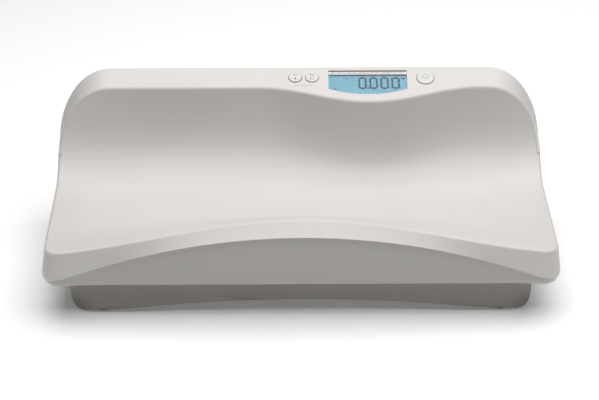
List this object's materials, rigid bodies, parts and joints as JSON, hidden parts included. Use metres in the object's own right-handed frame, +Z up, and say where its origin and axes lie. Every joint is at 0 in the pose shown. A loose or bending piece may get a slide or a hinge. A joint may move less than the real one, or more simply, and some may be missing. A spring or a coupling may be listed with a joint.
{
  "type": "baby weighing scale",
  "caption": "Digital baby weighing scale: wide moulded tray with a sloping back console holding a blue display and round buttons, on a shallow arched base with levelling feet.",
  "frame": {"origin": "middle of the footprint, on the surface that the four foot pads stand on", "axes": "+X to the user's right along the tray, +Y from the front lip to the back console, +Z up"},
  "size_m": [0.63, 0.3116, 0.206],
  "materials": {
    "tray_plastic": "satin",
    "base_plastic": "satin",
    "inner_plastic": "matt",
    "button_plastic": "satin",
    "window_clear": "clear gloss",
    "lcd_glass": "gloss",
    "light_guide": "gloss",
    "board_laminate": "satin",
    "switch_plastic": "matt",
    "screw_steel": "zinc plated",
    "spring_steel": "nickel plated",
    "cell_jacket": "gloss",
    "load_cell_steel": "milled",
    "bush_brass": "turned",
    "pad_rubber": "matt",
    "socket_plastic": "satin"
  },
  "bodies": {
    "housing": {"weighing_tray": "tray_plastic", "base_housing": "base_plastic", "display_window": "window_clear", "display_frame": "inner_plastic", "lcd_panel": "lcd_glass", "backlight": "light_guide", "switch_bodies": "switch_plastic", "control_board": "board_laminate", "board_screws": "screw_steel", "batteries": "cell_jacket", "battery_springs": "spring_steel", "battery_plates": "spring_steel", "load_cell_front_left": "load_cell_steel", "load_cell_front_right": "load_cell_steel", "load_cell_back_left": "load_cell_steel", "load_cell_back_right": "load_cell_steel", "cell_clamps": "inner_plastic", "cell_screws": "screw_steel", "foot_bushes": "bush_brass", "housing_screws": "screw_steel", "power_socket": "socket_plastic"},
    "power_key": {"power_button": "button_plastic", "power_plunger": "switch_plastic"},
    "left_function_key": {"left_function_button": "button_plastic", "left_function_plunger": "switch_plastic"},
    "right_function_key": {"right_function_button": "button_plastic", "right_function_plunger": "switch_plastic"},
    "battery_door": {"battery_cover": "base_plastic"},
    "foot_front_left": {"foot_pad_front_left": "pad_rubber"},
    "stem_front_left": {"foot_stem_front_left": "screw_steel"},
    "foot_front_right": {"foot_pad_front_right": "pad_rubber"},
    "stem_front_right": {"foot_stem_front_right": "screw_steel"},
    "foot_back_left": {"foot_pad_back_left": "pad_rubber"},
    "stem_back_left": {"foot_stem_back_left": "screw_steel"},
    "foot_back_right": {"foot_pad_back_right": "pad_rubber"},
    "stem_back_right": {"foot_stem_back_right": "screw_steel"}
  },
  "joints": [
    {"name": "power_press", "type": "slide", "parent": "housing", "child": "power_key", "axis": [0, 0.4067, -0.9135], "range_m": [0, 0.0008], "stiffness_N_per_m": 2500, "springref_m": -0.0003},
    {"name": "left_function_press", "type": "slide", "parent": "housing", "child": "left_function_key", "axis": [0, 0.4067, -0.9135], "range_m": [0, 0.0008], "stiffness_N_per_m": 2500, "springref_m": -0.0003},
    {"name": "right_function_press", "type": "slide", "parent": "housing", "child": "right_function_key", "axis": [0, 0.4067, -0.9135], "range_m": [0, 0.0008], "stiffness_N_per_m": 2500, "springref_m": -0.0003},
    {"name": "battery_cover_tilt", "type": "hinge", "parent": "housing", "child": "battery_door", "pos_m": [0, 0.048, 0.0186], "axis": [1, 0, 0], "range_deg": [0, 90]},
    {"name": "foot_front_left_slide", "type": "slide", "parent": "housing", "child": "foot_front_left", "axis": [0, 0, -1], "range_m": [0, 0.006]},
    {"name": "stem_front_left_turn", "type": "hinge", "parent": "foot_front_left", "child": "stem_front_left", "pos_m": [-0.243, -0.10975, 0], "axis": [0, 0, -1], "range_deg": [0, 1728]},
    {"name": "foot_front_right_slide", "type": "slide", "parent": "housing", "child": "foot_front_right", "axis": [0, 0, -1], "range_m": [0, 0.006]},
    {"name": "stem_front_right_turn", "type": "hinge", "parent": "foot_front_right", "child": "stem_front_right", "pos_m": [0.243, -0.10975, 0], "axis": [0, 0, -1], "range_deg": [0, 1728]},
    {"name": "foot_back_left_slide", "type": "slide", "parent": "housing", "child": "foot_back_left", "axis": [0, 0, -1], "range_m": [0, 0.006]},
    {"name": "stem_back_left_turn", "type": "hinge", "parent": "foot_back_left", "child": "stem_back_left", "pos_m": [-0.243, 0.10975, 0], "axis": [0, 0, -1], "range_deg": [0, 1728]},
    {"name": "foot_back_right_slide", "type": "slide", "parent": "housing", "child": "foot_back_right", "axis": [0, 0, -1], "range_m": [0, 0.006]},
    {"name": "stem_back_right_turn", "type": "hinge", "parent": "foot_back_right", "child": "stem_back_right", "pos_m": [0.243, 0.10975, 0], "axis": [0, 0, -1], "range_deg": [0, 1728]}
  ],
  "couplings": [
    {"joint": "stem_front_left_turn", "follows": "foot_front_left_slide", "rad_per_m": 5026.5},
    {"joint": "stem_front_right_turn", "follows": "foot_front_right_slide", "rad_per_m": 5026.5},
    {"joint": "stem_back_left_turn", "follows": "foot_back_left_slide", "rad_per_m": 5026.5},
    {"joint": "stem_back_right_turn", "follows": "foot_back_right_slide", "rad_per_m": 5026.5}
  ]
}
